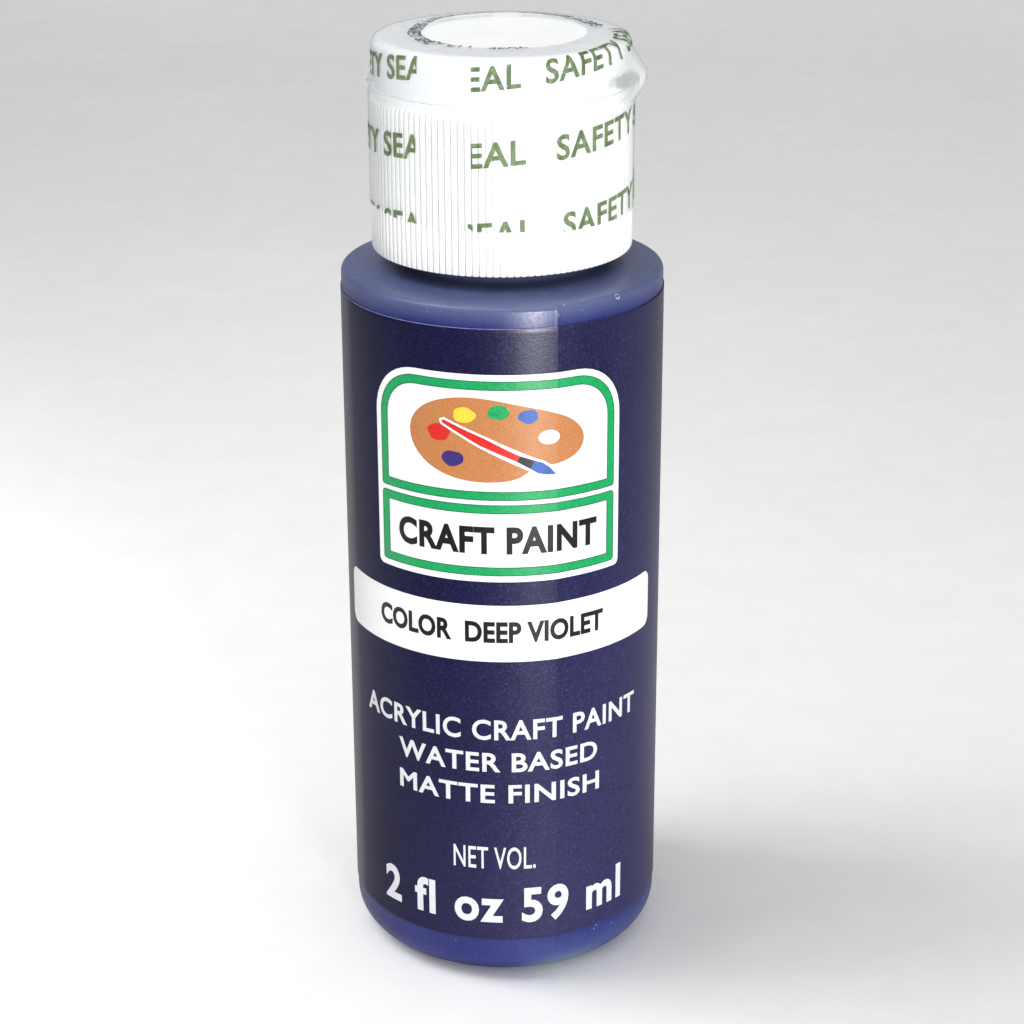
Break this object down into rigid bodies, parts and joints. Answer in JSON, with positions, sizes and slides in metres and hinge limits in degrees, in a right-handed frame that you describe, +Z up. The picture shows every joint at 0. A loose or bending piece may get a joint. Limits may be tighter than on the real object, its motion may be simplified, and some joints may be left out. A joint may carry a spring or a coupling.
{
  "type": "squeeze bottle of craft paint",
  "caption": "Squeeze bottle of craft paint: round plastic bottle with a wrap-around label, threaded flip-top dispensing cap with a grip-ribbed skirt, and a clear shrink band.",
  "frame": {"origin": "centre of the base where the bottle stands, on the bottle's axis", "axes": "+Z up along the bottle's axis, towards the cap; the label's front faces -Y; +X is to the right seen from the front"},
  "size_m": [0.0352, 0.0353, 0.1045],
  "materials": {
    "bottle_plastic": "satin, translucent, coated with paint inside",
    "paint": "wet, opaque violet",
    "label_film": "satin printed film, violet",
    "cap_plastic": "semi-gloss white",
    "shrink_film": "clear, glossy, slightly wrinkled"
  },
  "bodies": {
    "bottle": {"bottle": "bottle_plastic", "label": "label_film"},
    "fill": {"paint": "paint"},
    "cap": {"cap_body": "cap_plastic", "living_hinge": "cap_plastic", "seal_band_lower": "shrink_film"},
    "lid": {"flip_lid": "cap_plastic", "seal_band_upper": "shrink_film"}
  },
  "joints": [
    {"name": "cap_unscrew", "type": "hinge", "parent": "bottle", "child": "fill", "pos_m": [0, 0, 0.09], "axis": [0, 0, 1], "range_deg": [0, 630]},
    {"name": "cap_lift", "type": "slide", "parent": "fill", "child": "cap", "axis": [0, 0, 1], "range_m": [0, 0.0056]},
    {"name": "lid_flip", "type": "hinge", "parent": "cap", "child": "lid", "pos_m": [-0.01396, 0.0031, 0.09947], "axis": [-0.2164, -0.9763, 0], "range_deg": [0, 160], "deforming": ["living_hinge"]}
  ],
  "couplings": [
    {"joint": "cap_lift", "follows": "cap_unscrew", "m_per_rad": 0.00050532}
  ]
}
